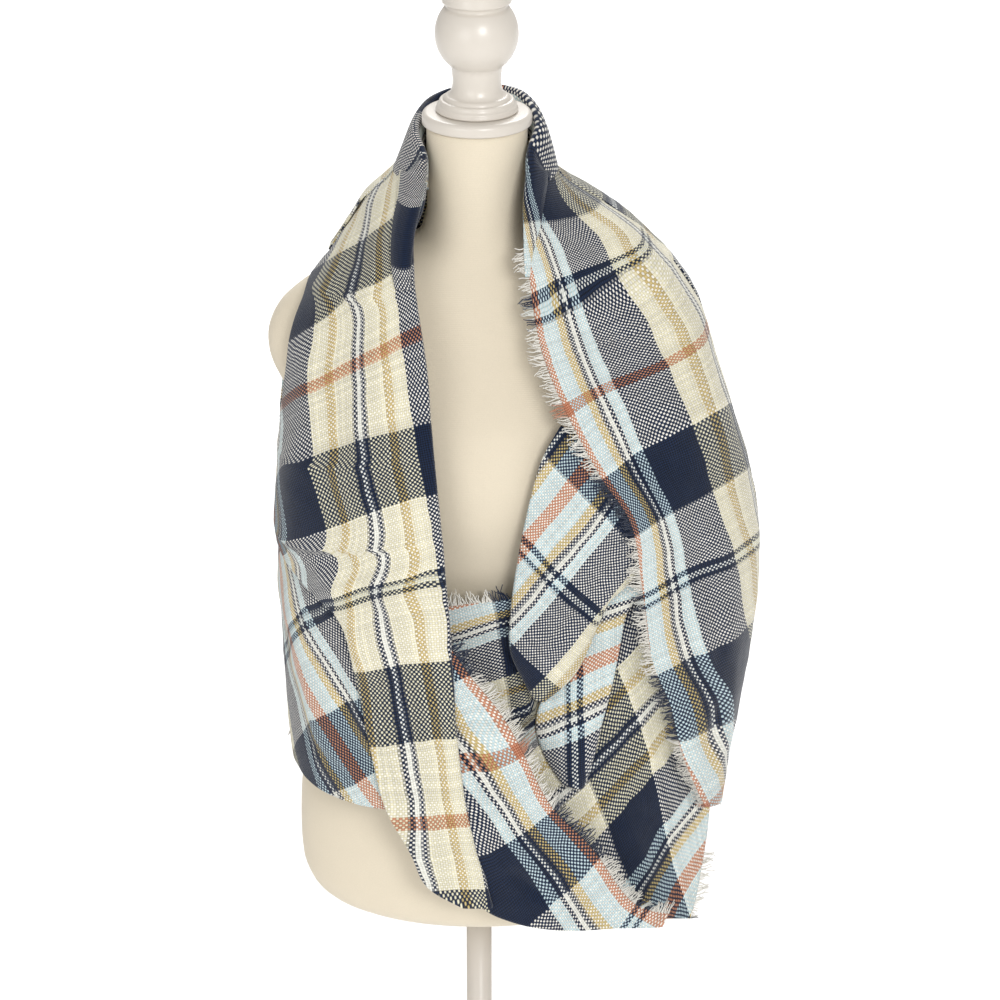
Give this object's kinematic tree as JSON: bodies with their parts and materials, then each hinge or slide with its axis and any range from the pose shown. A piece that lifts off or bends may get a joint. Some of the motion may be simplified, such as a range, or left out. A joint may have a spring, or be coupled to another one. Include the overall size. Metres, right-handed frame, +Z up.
{
  "type": "infinity scarf on a dress form",
  "caption": "Plaid woven loop scarf with frayed edges, hung as a single loop on a limbless dress form with a turned finial and a round base.",
  "frame": {"origin": "middle of the underside of the round base", "axes": "+Z up along the pole, -Y towards the front of the form, +X towards the right of the picture"},
  "size_m": [0.4408, 0.31, 1.515],
  "materials": {
    "plaid": "soft brushed woven plaid in navy, cream, light blue, tan and rust",
    "raw_yarn": "frayed cream yarn",
    "form": "smooth off-white jersey stretched over a hard body",
    "painted_wood": "satin white paint",
    "painted_steel": "satin white paint"
  },
  "bodies": {
    "root": {"torso": "form", "neck_disc": "painted_wood", "finial": "painted_wood", "pole": "painted_steel", "base": "painted_steel", "neck_roll": "plaid", "left_front": "plaid", "left_low_front": "plaid", "left_turned_edge": "plaid", "right_front": "plaid", "cradle": "plaid", "middle_pleat": "plaid", "lower_pleat": "plaid", "left_shoulder": "plaid", "left_back": "plaid", "right_back": "plaid", "back_drape": "plaid", "fringe_left_edge": "raw_yarn", "fringe_right_edge": "raw_yarn", "fringe_cradle_top": "raw_yarn", "fringe_cradle_low": "raw_yarn", "fringe_back_hem": "raw_yarn", "fringe_left_hem": "raw_yarn", "fringe_right_hem": "raw_yarn"}
  },
  "joints": []
}
